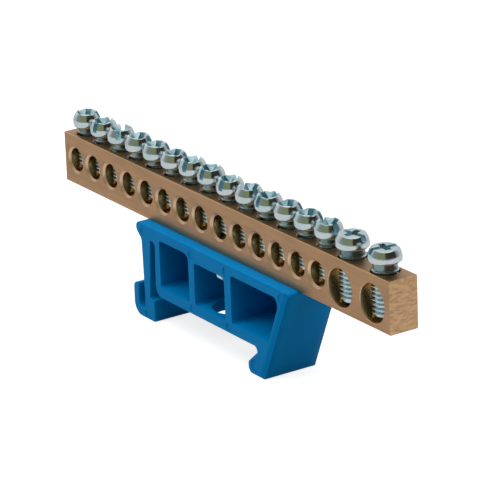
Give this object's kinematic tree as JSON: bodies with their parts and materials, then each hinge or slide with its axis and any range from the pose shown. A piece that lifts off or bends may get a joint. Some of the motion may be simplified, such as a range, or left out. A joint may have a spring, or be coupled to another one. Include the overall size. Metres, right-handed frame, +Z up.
{
  "type": "terminal strip",
  "caption": "Cross-drilled metal bar with a row of clamp screws, screwed to a moulded clip that snaps onto a 35 mm top-hat rail.",
  "frame": {"origin": "centre of the bounding box's bottom, between the clip's two feet, below the bar's centre", "axes": "+X along the bar towards the two large wire holes, +Y towards the clip's closed back, +Z up"},
  "size_m": [0.1052, 0.011, 0.0329],
  "materials": {
    "bar_brass": "satin, drawn, with sawn ends",
    "blue_plastic": "satin moulded",
    "zinc": "bright zinc plate"
  },
  "bodies": {
    "strip": {"busbar": "bar_brass", "din_bracket": "blue_plastic", "bracket_screw": "zinc"},
    "clamp_screw_01": {"clamp_screw_01": "zinc"},
    "clamp_screw_02": {"clamp_screw_02": "zinc"},
    "clamp_screw_03": {"clamp_screw_03": "zinc"},
    "clamp_screw_04": {"clamp_screw_04": "zinc"},
    "clamp_screw_05": {"clamp_screw_05": "zinc"},
    "clamp_screw_06": {"clamp_screw_06": "zinc"},
    "clamp_screw_07": {"clamp_screw_07": "zinc"},
    "clamp_screw_08": {"clamp_screw_08": "zinc"},
    "clamp_screw_09": {"clamp_screw_09": "zinc"},
    "clamp_screw_10": {"clamp_screw_10": "zinc"},
    "clamp_screw_11": {"clamp_screw_11": "zinc"},
    "clamp_screw_12": {"clamp_screw_12": "zinc"},
    "clamp_screw_13": {"clamp_screw_13": "zinc"},
    "clamp_screw_14": {"clamp_screw_14": "zinc"},
    "main_clamp_screw_01": {"main_clamp_screw_01": "zinc"},
    "main_clamp_screw_02": {"main_clamp_screw_02": "zinc"}
  },
  "joints": [
    {"name": "clamp_screw_01_travel", "type": "slide", "parent": "strip", "child": "clamp_screw_01", "axis": [0, 0, 1], "range_m": [-0.0004, 0.0038]},
    {"name": "clamp_screw_02_travel", "type": "slide", "parent": "strip", "child": "clamp_screw_02", "axis": [0, 0, 1], "range_m": [-0.00025, 0.00395]},
    {"name": "clamp_screw_03_travel", "type": "slide", "parent": "strip", "child": "clamp_screw_03", "axis": [0, 0, 1], "range_m": [-0.0004, 0.0038]},
    {"name": "clamp_screw_04_travel", "type": "slide", "parent": "strip", "child": "clamp_screw_04", "axis": [0, 0, 1], "range_m": [-0.0004, 0.0038]},
    {"name": "clamp_screw_05_travel", "type": "slide", "parent": "strip", "child": "clamp_screw_05", "axis": [0, 0, 1], "range_m": [-0.00035, 0.00385]},
    {"name": "clamp_screw_06_travel", "type": "slide", "parent": "strip", "child": "clamp_screw_06", "axis": [0, 0, 1], "range_m": [-0.0003, 0.0039]},
    {"name": "clamp_screw_07_travel", "type": "slide", "parent": "strip", "child": "clamp_screw_07", "axis": [0, 0, 1], "range_m": [-0.00055, 0.00365]},
    {"name": "clamp_screw_08_travel", "type": "slide", "parent": "strip", "child": "clamp_screw_08", "axis": [0, 0, 1], "range_m": [-0.0006, 0.0036]},
    {"name": "clamp_screw_09_travel", "type": "slide", "parent": "strip", "child": "clamp_screw_09", "axis": [0, 0, 1], "range_m": [-0.00015, 0.00405]},
    {"name": "clamp_screw_10_travel", "type": "slide", "parent": "strip", "child": "clamp_screw_10", "axis": [0, 0, 1], "range_m": [-0.00025, 0.00395]},
    {"name": "clamp_screw_11_travel", "type": "slide", "parent": "strip", "child": "clamp_screw_11", "axis": [0, 0, 1], "range_m": [-0.00035, 0.00385]},
    {"name": "clamp_screw_12_travel", "type": "slide", "parent": "strip", "child": "clamp_screw_12", "axis": [0, 0, 1], "range_m": [-0.00045, 0.00375]},
    {"name": "clamp_screw_13_travel", "type": "slide", "parent": "strip", "child": "clamp_screw_13", "axis": [0, 0, 1], "range_m": [-0.00045, 0.00375]},
    {"name": "clamp_screw_14_travel", "type": "slide", "parent": "strip", "child": "clamp_screw_14", "axis": [0, 0, 1], "range_m": [-0.0005, 0.0037]},
    {"name": "main_clamp_screw_01_travel", "type": "slide", "parent": "strip", "child": "main_clamp_screw_01", "axis": [0, 0, 1], "range_m": [-0.00015, 0.0066]},
    {"name": "main_clamp_screw_02_travel", "type": "slide", "parent": "strip", "child": "main_clamp_screw_02", "axis": [0, 0, 1], "range_m": [-0.0003, 0.00645]}
  ]
}
